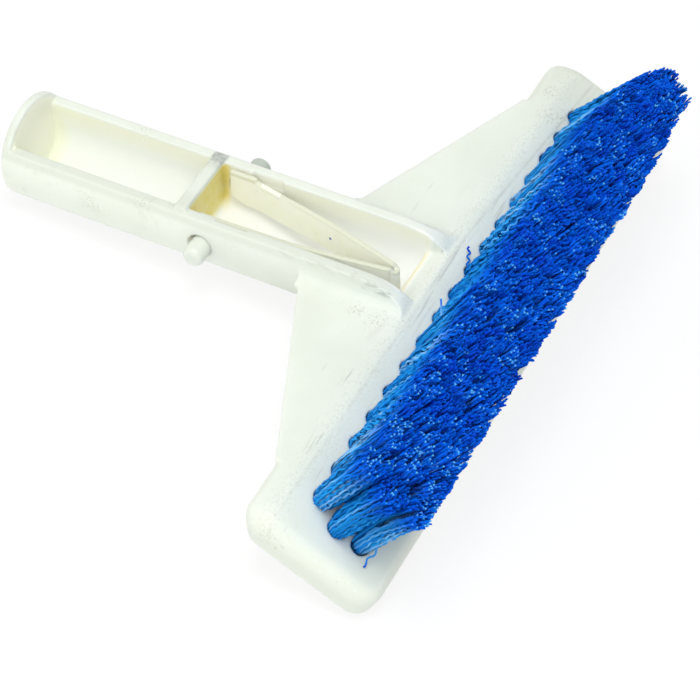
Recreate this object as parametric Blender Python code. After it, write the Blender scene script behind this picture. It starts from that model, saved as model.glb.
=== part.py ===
# Pool brush: a moulded head and trough handle, a sprung V clip with two pole
# buttons, and three rows of bristle tufts, each set in a hole of its own.
# Lengths are metres. In the tool frame +X runs along the brush, +Y from the
# handle's free end to the head, +Z out of the trough, with the handle's axis at
# x = z = 0. An empty tips that frame so that the brush lies on its back on z = 0.

import math

import bmesh
import bpy
from mathutils import Matrix, Vector

# Clearances
SEAT_GAP = 0.0003

# Handle
HANDLE_RADIUS = 0.01425
HANDLE_EDGE = 0.0008
END_WALL = 0.0026
RIM_HEIGHT = 0.0073
TROUGH_HALF_WIDTH = 0.0094
RIB_START = 0.0523
RIB_THICKNESS = 0.0034
RIB_CAP_OVERHANG = 0.0019
RIB_CAP_RISE = 0.0010
RIB_CAP_EDGE = 0.0007
RIB_CAP_MARGIN = 0.00006
RELIEF_DEPTH = 0.0008
RELIEF_START = 0.0640
RELIEF_LENGTH = 0.0095
RELIEF_FLOOR = 0.0035
WALL_FILLET = 0.0032

# Bar, whose top is level up to the crease and then tilts down
BAR_LENGTH = 0.1780
BAR_THICKNESS = 0.0120
BAR_FACE = 0.0331
BAR_TILT = math.radians(28.2)
CREASE_Y = 0.1215
LEVEL_TOP_RUN = 0.0073
BAR_REAR_Y = CREASE_Y - LEVEL_TOP_RUN
BAR_EDGE = 0.0034
END_EDGE = 0.0046
BAR_CORNER = 0.0060
FOOT_BOW = 0.0002
CREASE_RADIUS = 0.0080
CREASE_SINK = 0.0007

# Where the trough runs out into the bar
FRONT_WALL_RUN = 0.0159
FRONT_WALL_FOOT = CREASE_Y - FRONT_WALL_RUN
RIM_CURVE_RUN = 0.0125
RIM_CURVE_START = CREASE_Y - RIM_CURVE_RUN

# Wings
WING_TOP = 0.0024
WING_PROUD = 0.00004
WING_THICKNESS = 0.0045
WING_RUN = 0.0310
WING_ROOT_Y = CREASE_Y - WING_RUN
WING_END_INSET = 0.0192
WING_SPAN = BAR_LENGTH / 2.0 - WING_END_INSET

# Tufts
ROW_COUNTS = (17, 18, 18)
ROW_END_MARGIN = 0.0165
FIRST_ROW = 0.0081
ROW_SPACING = 0.0069
TUFT_HOLE_RADIUS = 0.0026
TUFT_HOLE_DEPTH = 0.0065
TUFT_BASE_DEPTH = 0.0045
TUFT_BASE_SINK = 0.0002
BRISTLE_LENGTH = 0.0340
BRISTLE_LEAN = math.radians(5.4)
BRISTLE_SLANT = math.radians(4.0)
BRISTLE_RADIUS = 0.00050
BRISTLE_RING = 7
RING_RADIUS = 0.0015
TIP_SPREAD_X = 0.0040
TIP_SPREAD_W = 0.0028

# Clip
CLIP_THICKNESS = 0.0014
CLIP_BOTTOM = -0.0038
CLIP_TOP = 0.0056
CLIP_TOP_HINGE = 0.0042
CLIP_TOP_NOSE = 0.0030
CLIP_TAPER = 0.0180
CLIP_NOSE_GAP = 0.0010
CLIP_APEX_X = 0.0025
CLIP_BEND_RADIUS = 0.0010
LEG_LEAN = 0.0008
LEG_STRAIGHT_LEFT = 0.0050
LEG_STRAIGHT_RIGHT = 0.0245
LEG_BOW_LEFT = 0.50
LEG_BOW_RIGHT = 0.58
LEG_END_STEP = 0.0019
LEG_END_LENGTH = 0.0045
BUTTON_RADIUS = 0.00295
BUTTON_Y = 0.0615
BUTTON_PROUD = 0.0050
BUTTON_DOME = 0.0016
BUTTON_TRAVEL = 0.0048
HOLE_CLEARANCE = 0.00055
LEG_TAIL = 0.0032

SMOOTH_ANGLE = math.radians(35.0)
BAR_TOP_DIR = Vector((0.0, math.cos(BAR_TILT), -math.sin(BAR_TILT)))
BAR_NORMAL = Vector((0.0, math.sin(BAR_TILT), math.cos(BAR_TILT)))
CREASE = Vector((0.0, CREASE_Y, WING_TOP))


def clear_scene():
    for obj in list(bpy.data.objects):
        bpy.data.objects.remove(obj, do_unlink=True)


def make_material(name, colour, roughness, metallic=0.0):
    material = bpy.data.materials.new(name)
    material.use_nodes = True
    shader = material.node_tree.nodes["Principled BSDF"]
    shader.inputs["Base Color"].default_value = (*colour, 1.0)
    shader.inputs["Roughness"].default_value = roughness
    shader.inputs["Metallic"].default_value = metallic
    return material


def add_object(name, mesh, frame, material=None):
    obj = bpy.data.objects.new(name, mesh)
    bpy.context.collection.objects.link(obj)
    obj.parent = frame
    if material is not None and not mesh.materials:
        mesh.materials.append(material)
    return obj


def mesh_from(bm, name):
    bmesh.ops.recalc_face_normals(bm, faces=bm.faces)
    mesh = bpy.data.meshes.new(name)
    bm.to_mesh(mesh)
    bm.free()
    mesh.shade_smooth()
    mesh.set_sharp_from_angle(angle=SMOOTH_ANGLE)
    return mesh


def arc(centre, radius, start, end, steps):
    """Points of an arc in a plane, angles in degrees."""
    points = []
    for i in range(steps + 1):
        angle = math.radians(start + (end - start) * i / steps)
        points.append((centre[0] + radius * math.cos(angle), centre[1] + radius * math.sin(angle)))
    return points


def rounded_outline(corners, steps):
    """A closed outline whose corners, given as (point, radius), are arcs."""
    outline = []
    count = len(corners)
    for i, (corner, radius) in enumerate(corners):
        here = Vector(corner)
        back = (Vector(corners[i - 1][0]) - here).normalized()
        ahead = (Vector(corners[(i + 1) % count][0]) - here).normalized()
        half = back.angle(ahead) / 2.0
        centre = here + (back + ahead).normalized() * radius / math.sin(half)
        first = here + back * radius / math.tan(half) - centre
        last = here + ahead * radius / math.tan(half) - centre
        sweep = first.angle_signed(last)
        for step in range(steps + 1):
            turn = Matrix.Rotation(-sweep * step / steps, 2)
            outline.append(tuple(centre + turn @ first))
    return outline


def add_loft(bm, rings):
    """A closed skin through rings of equal length, with flat ends."""
    loops = [[bm.verts.new(point) for point in ring] for ring in rings]
    for near, far in zip(loops, loops[1:]):
        for i in range(len(near)):
            j = (i + 1) % len(near)
            bm.faces.new((near[i], near[j], far[j], far[i]))
    bm.faces.new(list(reversed(loops[0])))
    bm.faces.new(loops[-1])


def prism_mesh(name, outline, axis, low, high):
    """An outline extruded along an axis; it lies in the other two, in order."""
    places = {"X": (1, 2), "Y": (0, 2), "Z": (0, 1)}[axis]
    along = "XYZ".index(axis)
    rings = []
    for value in (low, high):
        ring = []
        for pair in outline:
            point = [0.0, 0.0, 0.0]
            point[along] = value
            point[places[0]] = pair[0]
            point[places[1]] = pair[1]
            ring.append(tuple(point))
        rings.append(ring)
    bm = bmesh.new()
    add_loft(bm, rings)
    return mesh_from(bm, name)


def turned_mesh(name, profile, segments, axis):
    """A solid of revolution; profile holds (distance along the axis, radius)."""
    rings = []
    for along, radius in profile:
        ring = []
        for i in range(segments):
            angle = 2.0 * math.pi * (i + 0.5) / segments
            across = (radius * math.cos(angle), radius * math.sin(angle))
            if axis == "X":
                ring.append((along, *across))
            elif axis == "Y":
                ring.append((across[0], along, across[1]))
            else:
                ring.append((*across, along))
        rings.append(ring)
    bm = bmesh.new()
    add_loft(bm, rings)
    return mesh_from(bm, name)


def cut_with(target, mesh, frame, operation="DIFFERENCE"):
    cutter = add_object(mesh.name, mesh, frame)
    cutter.hide_render = True
    cutter.display_type = "WIRE"
    modifier = target.modifiers.new(mesh.name, "BOOLEAN")
    modifier.operation = operation
    modifier.solver = "EXACT"
    modifier.object = cutter
    return cutter


def rim_drop_radius():
    run = CREASE_Y - RIM_CURVE_START
    drop = RIM_HEIGHT - WING_TOP + CREASE_SINK
    return (run * run + drop * drop) / (2.0 * drop)


def handle_mesh():
    """The full round of the handle, up to where the bar's back swallows it."""
    back_point = CREASE - BAR_NORMAL * BAR_THICKNESS
    reach = back_point.y + (HANDLE_RADIUS + back_point.z) / math.tan(BAR_TILT)
    profile = [(0.0, HANDLE_RADIUS - HANDLE_EDGE), (HANDLE_EDGE * 0.3, HANDLE_RADIUS - HANDLE_EDGE * 0.3)]
    profile += [(HANDLE_EDGE, HANDLE_RADIUS), (reach, HANDLE_RADIUS)]
    return turned_mesh("handle_round", profile, 48, "Y")


def above_rims_mesh():
    """Everything above the rims, which run level and then curve to the crease."""
    radius = rim_drop_radius()
    centre = (RIM_CURVE_START, RIM_HEIGHT - radius)
    sweep = math.degrees(math.asin((CREASE_Y - RIM_CURVE_START) / radius))
    ceiling = HANDLE_RADIUS * 1.5
    outline = [(END_WALL, ceiling), (END_WALL, RIM_HEIGHT)]
    outline += arc(centre, radius, 90.0, 90.0 - sweep, 6)
    past = CREASE + BAR_TOP_DIR * BAR_FACE * 0.4 - BAR_NORMAL * CREASE_SINK * 2.0
    outline += [(past.y, past.z), (past.y, ceiling)]
    return prism_mesh("above_rims", outline, "X", -HANDLE_RADIUS * 1.35, HANDLE_RADIUS * 1.35)


def trough_outline():
    ceiling = HANDLE_RADIUS * 1.4
    outline = [(-TROUGH_HALF_WIDTH, ceiling)]
    outline += arc((0.0, 0.0), TROUGH_HALF_WIDTH, 180.0, 360.0, 18)
    outline += [(TROUGH_HALF_WIDTH, ceiling)]
    return outline


def front_trough_mesh():
    """The front compartment: a U whose foot climbs a round wall, then a ramp."""
    radius = TROUGH_HALF_WIDTH
    ramp_foot = FRONT_WALL_FOOT + radius
    past = BAR_EDGE / (CREASE_Y - ramp_foot)
    stations = [(RIB_START + RIB_THICKNESS, -radius)]
    stations += arc((FRONT_WALL_FOOT, 0.0), radius, 270.0, 360.0, 9)
    stations += [(CREASE_Y + BAR_EDGE, WING_TOP * (1.0 + past))]
    rings = []
    for y, foot in stations:
        rings.append([(x, y, max(z, foot)) for x, z in trough_outline()])
    bm = bmesh.new()
    add_loft(bm, rings)
    bmesh.ops.triangulate(bm, faces=bm.faces)
    return mesh_from(bm, "front_trough")


def rib_cap_mesh():
    """The rib's top, which stands proud of the rims and rests on both of them."""
    half = TROUGH_HALF_WIDTH + RIB_CAP_OVERHANG
    top = RIM_HEIGHT + RIB_CAP_RISE
    foot = RIM_HEIGHT - RIB_CAP_RISE * 2.0
    outline = [(-half, foot), (half, foot)]
    outline += arc((half - RIB_CAP_EDGE, top - RIB_CAP_EDGE), RIB_CAP_EDGE, 0.0, 90.0, 3)
    outline += arc((RIB_CAP_EDGE - half, top - RIB_CAP_EDGE), RIB_CAP_EDGE, 90.0, 180.0, 3)
    rear, front = RIB_START - RIB_CAP_MARGIN, RIB_START + RIB_THICKNESS + RIB_CAP_MARGIN
    return prism_mesh("rib_cap", outline, "Y", rear, front)


def wing_outline():
    inside = BAR_REAR_Y + 0.6 * (CREASE_Y - BAR_REAR_Y)
    root = HANDLE_RADIUS * 0.98
    outline = [(-WING_SPAN, BAR_REAR_Y), (-root, WING_ROOT_Y), (root, WING_ROOT_Y)]
    outline += [(WING_SPAN, BAR_REAR_Y), (WING_SPAN, inside), (-WING_SPAN, inside)]
    return outline


def wings_mesh():
    """Both gussets, a hair proud of the bar's level top that they run into."""
    return prism_mesh("wings", wing_outline(), "Z", WING_TOP - WING_THICKNESS, WING_TOP + WING_PROUD)


def wall_fillet_outline(side):
    """The concave fillet between a handle wall and the wing beside it."""
    wall = math.sqrt(HANDLE_RADIUS ** 2 - (WING_TOP + WALL_FILLET) ** 2)
    foot = math.sqrt(HANDLE_RADIUS ** 2 - WING_TOP ** 2) + WALL_FILLET
    sink = WING_THICKNESS * 0.4
    centre = (foot, WING_TOP + WALL_FILLET)
    curve = arc(centre, foot - wall, 180.0, 270.0, 4)
    rise = (WALL_FILLET + WING_PROUD) / (foot - wall)
    curve = [(x, centre[1] + (z - centre[1]) * rise) for x, z in curve]
    outline = [(wall - sink, centre[1])] + curve + [(foot, WING_TOP - sink), (wall - sink, WING_TOP - sink)]
    return [(side * x, z) for x, z in outline]


def bar_outline():
    """Section of the bar along (top direction, normal) from the crease."""
    rear_run = CREASE_Y - BAR_REAR_Y
    rear_top = (-rear_run * math.cos(BAR_TILT), -rear_run * math.sin(BAR_TILT))
    rear_foot_w = rear_top[0] - (BAR_THICKNESS + rear_top[1]) * math.tan(-BAR_TILT)
    corners = [(rear_top, BAR_EDGE * 0.8), ((0.0, 0.0), CREASE_RADIUS), ((BAR_FACE, 0.0), BAR_EDGE)]
    corners += [((BAR_FACE, -BAR_THICKNESS), BAR_EDGE), ((rear_foot_w, -BAR_THICKNESS), BAR_EDGE)]
    return rounded_outline(corners, 3)


def bar_mesh():
    """The bar, its ends drawn in to round corners, its foot bowed up in the middle."""
    outline = bar_outline()
    middle_w = (max(p[0] for p in outline) + min(p[0] for p in outline)) / 2.0
    half_w = (max(p[0] for p in outline) - min(p[0] for p in outline)) / 2.0
    middle_n = -BAR_THICKNESS / 2.0
    rings = []
    steps = [END_EDGE * (1.0 - math.cos(math.radians(a))) for a in (0, 20, 38, 56, 73, 90)]

    def drawn_in(radius, from_end):
        left = max(radius - from_end, 0.0)
        return radius - math.sqrt(max(radius * radius - left * left, 0.0))

    flat_end = BAR_LENGTH / 2.0 - BAR_CORNER
    places = [(BAR_LENGTH / 2.0 - from_end, from_end, 0.0) for from_end in steps + [BAR_CORNER]]
    places += [(flat_end * 0.5, BAR_CORNER, FOOT_BOW * 0.75), (0.0, BAR_CORNER, FOOT_BOW)]
    places += [(-x, from_end, bow) for x, from_end, bow in reversed(places[:-1])]
    for x, from_end, bow in reversed(places):
        scale_w = 1.0 - drawn_in(BAR_CORNER, from_end) / half_w
        scale_n = 1.0 - drawn_in(END_EDGE, from_end) / (BAR_THICKNESS / 2.0)
        ring = []
        for w, n in outline:
            along = middle_w + (w - middle_w) * scale_w
            up = middle_n + (n - middle_n) * scale_n + (bow if n < middle_n else 0.0)
            point = CREASE + BAR_TOP_DIR * along + BAR_NORMAL * up
            ring.append((x, point.y, point.z))
        rings.append(ring)
    bm = bmesh.new()
    add_loft(bm, rings)
    bmesh.ops.triangulate(bm, faces=bm.faces)
    return mesh_from(bm, "bar")


def tuft_places():
    """Row number and mouth centre of every tuft hole, row by row."""
    places = []
    pitch = (BAR_LENGTH - 2.0 * ROW_END_MARGIN) / (ROW_COUNTS[0] - 1)
    for row, count in enumerate(ROW_COUNTS):
        for column in range(count):
            x = (column - (count - 1) / 2.0) * pitch
            mouth = CREASE + BAR_TOP_DIR * (FIRST_ROW + row * ROW_SPACING)
            places.append((row, column, Vector((x, mouth.y, mouth.z))))
    return places


def face_turn():
    """Turns local X, Y, Z to the bar's length, top direction and normal."""
    columns = (Vector((1.0, 0.0, 0.0)), BAR_TOP_DIR, BAR_NORMAL)
    return Matrix(columns).transposed().to_4x4()


def tuft_holes_mesh():
    bm = bmesh.new()
    turn = face_turn()
    for _, _, mouth in tuft_places():
        rings = []
        for depth in (-TUFT_HOLE_DEPTH, BAR_EDGE * 0.5):
            ring = []
            for i in range(8):
                angle = math.radians(45.0 * i + 22.5)
                local = Vector((TUFT_HOLE_RADIUS * math.cos(angle), TUFT_HOLE_RADIUS * math.sin(angle), depth))
                ring.append(mouth + turn @ local)
            rings.append(ring)
        add_loft(bm, rings)
    return mesh_from(bm, "tuft_holes")


def build_body(frame, material):
    body = add_object("head_and_handle", handle_mesh(), frame, material)
    for name, side in (("left", -1.0), ("right", 1.0)):
        fillet = prism_mesh("wall_fillet_" + name, wall_fillet_outline(side), "Y", WING_ROOT_Y, CREASE_Y)
        cut_with(body, fillet, frame, "UNION")
    cut_with(body, above_rims_mesh(), frame)
    cut_with(body, wings_mesh(), frame, "UNION")
    cut_with(body, bar_mesh(), frame, "UNION")
    cut_with(body, rib_cap_mesh(), frame, "UNION")
    rear = prism_mesh("rear_trough", trough_outline(), "Y", END_WALL, RIB_START)
    cut_with(body, rear, frame)
    cut_with(body, front_trough_mesh(), frame)
    relief_outline = [(RELIEF_START, RELIEF_FLOOR), (RELIEF_START + RELIEF_LENGTH, RELIEF_FLOOR)]
    relief_outline += [(y, HANDLE_RADIUS) for y, _ in reversed(relief_outline)]
    reach = TROUGH_HALF_WIDTH + RELIEF_DEPTH
    cut_with(body, prism_mesh("clip_relief", relief_outline, "X", -reach, reach), frame)
    hole = button_hole_mesh()
    cut_with(body, hole, frame)
    cut_with(body, tuft_holes_mesh(), frame)
    return body


def button_swing():
    """How far back along Y a button moves at the wall when it is pressed home."""
    arm = clip_hinge(-1.0).y - BUTTON_Y
    angle = BUTTON_TRAVEL / arm
    lever = HANDLE_RADIUS + BUTTON_PROUD - BUTTON_TRAVEL * 0.2 + abs(clip_hinge(-1.0).x)
    return lever * math.sin(angle) - arm * (1.0 - math.cos(angle))


def button_hole_mesh():
    """One cutter through both walls, longer along Y than it is tall."""
    half_length = BUTTON_RADIUS + button_swing() / 2.0 + SEAT_GAP * 0.3
    half_height = BUTTON_RADIUS + HOLE_CLEARANCE
    centre_y = BUTTON_Y - button_swing() / 2.0
    outline = []
    for x, z in arc((0.0, 0.0), 1.0, 7.5, 352.5, 23):
        outline.append((centre_y + x * half_length, z * half_height))
    return prism_mesh("button_holes", outline, "X", -HANDLE_RADIUS * 1.3, HANDLE_RADIUS * 1.3)


def clip_hinge(side):
    """Where a leg bends away from the clip's closed end."""
    nose = FRONT_WALL_FOOT + math.sqrt(TROUGH_HALF_WIDTH ** 2 - CLIP_BOTTOM ** 2) - CLIP_NOSE_GAP
    centre_y = nose - CLIP_BEND_RADIUS - CLIP_THICKNESS / 2.0
    return Vector((CLIP_APEX_X + side * CLIP_BEND_RADIUS, centre_y - 0.5 * SEAT_GAP, 0.0))


def wall_at_clip_foot():
    return math.sqrt(TROUGH_HALF_WIDTH ** 2 - CLIP_BOTTOM ** 2)


def leg_path(side):
    """Centre line of a leg's foot from its free end, beside the wall, to its hinge."""
    beside = side * (wall_at_clip_foot() - SEAT_GAP - CLIP_THICKNESS / 2.0)
    hinge = clip_hinge(side)
    bow = LEG_BOW_RIGHT if side > 0 else LEG_BOW_LEFT
    straight_end = BUTTON_Y + (LEG_STRAIGHT_RIGHT if side > 0 else LEG_STRAIGHT_LEFT)
    middle_y = (straight_end + hinge.y) / 2.0
    middle_x = beside * bow + hinge.x * (1.0 - bow)
    path = [(beside, BUTTON_Y - LEG_TAIL), (beside, BUTTON_Y + BUTTON_RADIUS)]
    path += [(beside * 0.985, straight_end), (middle_x, middle_y)]
    path += [(hinge.x, hinge.y)]
    return path


def clip_top_at(from_hinge):
    """Height of a leg's top edge, which comes down towards the closed end."""
    share = min(from_hinge / CLIP_TAPER, 1.0)
    return CLIP_TOP_HINGE + (CLIP_TOP - CLIP_TOP_HINGE) * share


def strip_rings(path, bottoms, tops, leans):
    """Rectangles along a path, their tops leant sideways; the ends face along Y."""
    rings = []
    count = len(path)
    for i, (x, y) in enumerate(path):
        before = Vector(path[max(i - 1, 0)])
        after = Vector(path[min(i + 1, count - 1)])
        if i in (0, count - 1):
            across = Vector((1.0, 0.0))
        else:
            forward = (after - before).normalized()
            across = Vector((forward.y, -forward.x))
        low, high = bottoms[i], tops[i]
        inner = Vector((x, y)) - across * CLIP_THICKNESS / 2.0
        outer = Vector((x, y)) + across * CLIP_THICKNESS / 2.0
        lean_low = leans[i] * (low - CLIP_BOTTOM) / (CLIP_TOP - CLIP_BOTTOM)
        lean_high = leans[i] * (high - CLIP_BOTTOM) / (CLIP_TOP - CLIP_BOTTOM)
        ring = [(inner.x + lean_low, inner.y, low), (outer.x + lean_low, outer.y, low)]
        ring += [(outer.x + lean_high, outer.y, high), (inner.x + lean_high, inner.y, high)]
        rings.append(ring)
    return rings


def smooth_path(path, steps):
    """A rounded run through the path's inner points, keeping its ends."""
    points = [path[0]]
    for a, b, c in zip(path, path[1:], path[2:]):
        start = ((a[0] + 3.0 * b[0]) / 4.0, (a[1] + 3.0 * b[1]) / 4.0)
        end = ((3.0 * b[0] + c[0]) / 4.0, (3.0 * b[1] + c[1]) / 4.0)
        for i in range(steps + 1):
            t = i / steps
            x = (1 - t) ** 2 * start[0] + 2 * t * (1 - t) * b[0] + t * t * end[0]
            y = (1 - t) ** 2 * start[1] + 2 * t * (1 - t) * b[1] + t * t * end[1]
            points.append((x, y))
    points.append(path[-1])
    return points


def leg_mesh(name, side):
    """A leg in its hinge's own frame, its free end cut away at the foot."""
    hinge = clip_hinge(side)
    path = smooth_path(leg_path(side), 3)
    step_y = BUTTON_Y - LEG_TAIL + LEG_END_LENGTH
    path = [p for p in path if abs(p[1] - step_y) > CLIP_THICKNESS * 0.3]
    before = max(i for i, p in enumerate(path) if p[1] < step_y)
    edge_x = path[before][0]
    path[before + 1:before + 1] = [(edge_x, step_y), (edge_x, step_y + LEG_END_STEP * 0.4)]
    bottoms = [CLIP_BOTTOM + (LEG_END_STEP if p[1] <= step_y else 0.0) for p in path]
    tops = [clip_top_at(hinge.y - p[1]) for p in path]
    reach = hinge.y - BUTTON_Y
    leans = [side * LEG_LEAN * min((hinge.y - p[1]) / reach, 1.0) for p in path]
    path[-1] = (path[-1][0], path[-1][1] - 0.5 * SEAT_GAP)
    local = [(x - hinge.x, y - hinge.y) for x, y in path]
    bm = bmesh.new()
    add_loft(bm, strip_rings(local, bottoms, tops, leans))
    bmesh.ops.triangulate(bm, faces=[f for f in bm.faces if len(f.verts) == 4])
    return mesh_from(bm, name)


def button_mesh(side):
    hinge = clip_hinge(side)
    root = abs(leg_path(side)[0][0]) - side * hinge.x
    tip = HANDLE_RADIUS + BUTTON_PROUD - side * hinge.x
    profile = [(root, BUTTON_RADIUS), (tip - BUTTON_DOME, BUTTON_RADIUS)]
    profile += [(tip - BUTTON_DOME * 0.45, BUTTON_RADIUS * 0.90), (tip - BUTTON_DOME * 0.12, BUTTON_RADIUS * 0.66)]
    profile += [(tip, BUTTON_RADIUS * 0.30)]
    profile = [(side * along, radius) for along, radius in profile]
    mesh = turned_mesh("button_" + ("right" if side > 0 else "left"), profile, 20, "X")
    mesh.transform(Matrix.Translation((0.0, BUTTON_Y - hinge.y, 0.0)))
    return mesh


def build_leg(name, side, frame, material):
    leg = add_object(name, leg_mesh(name, side), frame, material)
    leg.location = clip_hinge(side)
    button = cut_with(leg, button_mesh(side), frame, "UNION")
    button.location = clip_hinge(side)
    return leg


def build_clip_bend(frame, material):
    """The clip's closed end, a half turn between the two hinges."""
    centre = (CLIP_APEX_X, clip_hinge(1.0).y + SEAT_GAP)
    outer = arc(centre, CLIP_BEND_RADIUS + CLIP_THICKNESS / 2.0, 0.0, 180.0, 10)
    inner = arc(centre, CLIP_BEND_RADIUS - CLIP_THICKNESS / 2.0, 180.0, 0.0, 6)
    nose = CLIP_BEND_RADIUS + CLIP_THICKNESS / 2.0
    drop = (CLIP_TOP_HINGE - CLIP_TOP_NOSE) / nose
    bm = bmesh.new()
    foot = [(x, y, CLIP_BOTTOM) for x, y in outer + inner]
    crest = [(x, y, CLIP_TOP_HINGE - (y - centre[1]) * drop) for x, y in outer + inner]
    add_loft(bm, [foot, crest])
    return add_object("clip_bend", mesh_from(bm, "clip_bend"), frame, material)


def bristle_rings(base, tip):
    """Two small triangles, one sunk in the tuft's base and one at the tip."""
    rings = []
    for centre in (base, tip):
        ring = []
        for i in range(3):
            angle = math.radians(120.0 * i + 30.0)
            x = centre.x + BRISTLE_RADIUS * math.cos(angle)
            ring.append((x, centre.y + BRISTLE_RADIUS * math.sin(angle), centre.z))
        rings.append(ring)
    return rings


def tuft_mesh(frame):
    """One tuft: bristles fused to the round base that fills the hole's mouth."""
    top = -TUFT_BASE_SINK
    base_radius = TUFT_HOLE_RADIUS - SEAT_GAP
    profile = [(-TUFT_BASE_DEPTH, base_radius), (top, base_radius)]
    plug = add_object("tuft_base", turned_mesh("tuft_base", profile, 8, "Z"), frame)
    bm = bmesh.new()
    sunk = top - TUFT_BASE_DEPTH * 0.3
    lean = BRISTLE_LENGTH * math.tan(BRISTLE_LEAN)
    slant = BRISTLE_LENGTH * math.tan(BRISTLE_SLANT)
    spots = [(0.0, 0.0)] + [(math.cos(a), math.sin(a)) for a in
                            [2.0 * math.pi * i / BRISTLE_RING for i in range(BRISTLE_RING)]]
    for x, y in spots:
        base = Vector((x * RING_RADIUS, y * RING_RADIUS, sunk))
        tip = Vector((x * TIP_SPREAD_X + slant, y * TIP_SPREAD_W + lean, BRISTLE_LENGTH))
        add_loft(bm, bristle_rings(base, tip))
    cut_with(plug, mesh_from(bm, "bristles"), frame, "UNION")
    bpy.context.view_layer.update()
    evaluated = plug.evaluated_get(bpy.context.evaluated_depsgraph_get())
    mesh = bpy.data.meshes.new_from_object(evaluated)
    mesh.name = "tuft"
    for helper in (bpy.data.objects["bristles"], plug):
        bpy.data.objects.remove(helper, do_unlink=True)
    return mesh


def build_tufts(frame, material):
    mesh = tuft_mesh(frame)
    row_names = ("rear", "middle", "front")
    for row, column, mouth in tuft_places():
        tuft = add_object("tuft_%s_%02d" % (row_names[row], column + 1), mesh, frame, material)
        tuft.matrix_local = Matrix.Translation(mouth) @ face_turn()


def lay_on_back(frame):
    """Tips the frame until handle and bar touch one plane, then centres it."""
    edge_centre = CREASE + BAR_TOP_DIR * (BAR_FACE - BAR_EDGE) - BAR_NORMAL * (BAR_THICKNESS - BAR_EDGE)
    end = Vector((0.0, HANDLE_EDGE, -HANDLE_RADIUS))
    reach = Vector((edge_centre.y - end.y, edge_centre.z - end.z))
    slope = math.atan2(reach.y, reach.x) - math.asin(BAR_EDGE / reach.length)
    frame.rotation_euler = (-slope, 0.0, 0.0)
    bpy.context.view_layer.update()
    depsgraph = bpy.context.evaluated_depsgraph_get()
    low = Vector((1.0, 1.0, 1.0))
    high = -low
    for obj in bpy.data.objects:
        if obj.type != "MESH" or obj.hide_render:
            continue
        evaluated = obj.evaluated_get(depsgraph)
        for corner in evaluated.data.vertices:
            point = evaluated.matrix_world @ corner.co
            low = Vector(map(min, low, point))
            high = Vector(map(max, high, point))
    frame.location = (-(low.x + high.x) / 2.0, -(low.y + high.y) / 2.0, -low.z)


def main():
    clear_scene()
    frame = bpy.data.objects.new("tool_frame", None)
    bpy.context.collection.objects.link(frame)
    moulding = make_material("white_moulding", (0.80, 0.82, 0.77), 0.42)
    nylon = make_material("clip_nylon", (0.80, 0.80, 0.68), 0.35)
    fibre = make_material("blue_bristle", (0.01, 0.10, 0.62), 0.45)
    build_body(frame, moulding)
    build_clip_bend(frame, nylon)
    build_leg("clip_leg_left", -1.0, frame, nylon)
    build_leg("clip_leg_right", 1.0, frame, nylon)
    build_tufts(frame, fibre)
    lay_on_back(frame)


main()
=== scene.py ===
# Looks of the pool brush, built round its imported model.

import math

import bmesh
import bpy
import numpy as np
from mathutils import Matrix, Vector


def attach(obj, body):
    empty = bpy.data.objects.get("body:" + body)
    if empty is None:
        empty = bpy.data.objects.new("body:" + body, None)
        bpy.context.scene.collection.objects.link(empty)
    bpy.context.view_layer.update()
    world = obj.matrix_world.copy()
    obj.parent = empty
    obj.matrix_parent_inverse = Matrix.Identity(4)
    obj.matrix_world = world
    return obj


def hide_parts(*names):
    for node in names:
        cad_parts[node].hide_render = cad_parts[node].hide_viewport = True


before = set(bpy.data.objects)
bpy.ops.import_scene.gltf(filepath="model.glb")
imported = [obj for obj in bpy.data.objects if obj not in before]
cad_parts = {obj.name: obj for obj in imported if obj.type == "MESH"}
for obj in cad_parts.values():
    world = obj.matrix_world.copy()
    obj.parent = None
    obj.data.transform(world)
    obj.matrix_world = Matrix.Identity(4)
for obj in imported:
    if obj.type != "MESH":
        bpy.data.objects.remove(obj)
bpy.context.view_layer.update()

# The tool frame has +Y along the shank from its free end and +Z out of the trough.
TILT = math.radians(3.354133)
TOOL = Matrix.Translation((0.0, -0.080073, 0.014165)) @ Matrix.Rotation(TILT, 4, "X")

# All sizes are in the tool frame, in millimetres.
SEAT_GAP = 0.3

# Shank and trough
SHANK_RADIUS = 14.25
SHANK_END = ((0.0, 0.8), (0.24, 0.25), (0.8, 0.0))  # how far along, and how much is rounded off
END_WALL = 2.6
RIM_HEIGHT = 7.3
ABOVE_RIMS = 21.0
ABOVE_RIMS_HALF = 19.0
TROUGH_HALF = 9.4
TROUGH_MOUTH = 20.0
REAR_FILLET = 0.7
RIB = (52.3, 55.7)
RIB_CAP_HALF = 11.3
RIB_CAP_TOP = 8.3
RIB_CAP_ROUND = 1.0
RIB_CAP_MARGIN = 0.05
RIB_CAP_SINK = 2.0
CREASE_Y = 121.5
FRONT_FOOT = CREASE_Y - 15.9
RIM_CURVE = CREASE_Y - 12.5
RIM_CURVE_SINK = 0.7
WALL_FILLET = 3.2
RELIEF_ALONG = (64.0, 73.5)
RELIEF_ACROSS = (-9.9, 10.2)
RELIEF_FLOOR = 3.5
RELIEF_TOP = 14.0

# Bar and the gussets behind it
WING_TOP = 2.4
WING_THICK = 4.5
WING_ROOT_Y = CREASE_Y - 31.0
WING_ROOT_HALF = 13.9
WING_SPAN = 69.8
WING_OVERLAP = 4.4
BAR_REAR_RUN = 7.3
BAR_REAR_Y = CREASE_Y - BAR_REAR_RUN
BAR_LENGTH = 178.0
BAR_THICK = 12.0
BAR_FACE = 33.1
BAR_TILT = math.radians(28.2)
BAR_EDGE = 3.4
BAR_REAR_EDGE = BAR_EDGE * 0.8
CREASE_ROUND = 8.0
END_EDGE = 4.6
BAR_CORNER = 6.0
CUT_SHARE_OF_FACE = 0.4
CUT_SINK = 1.4

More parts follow.
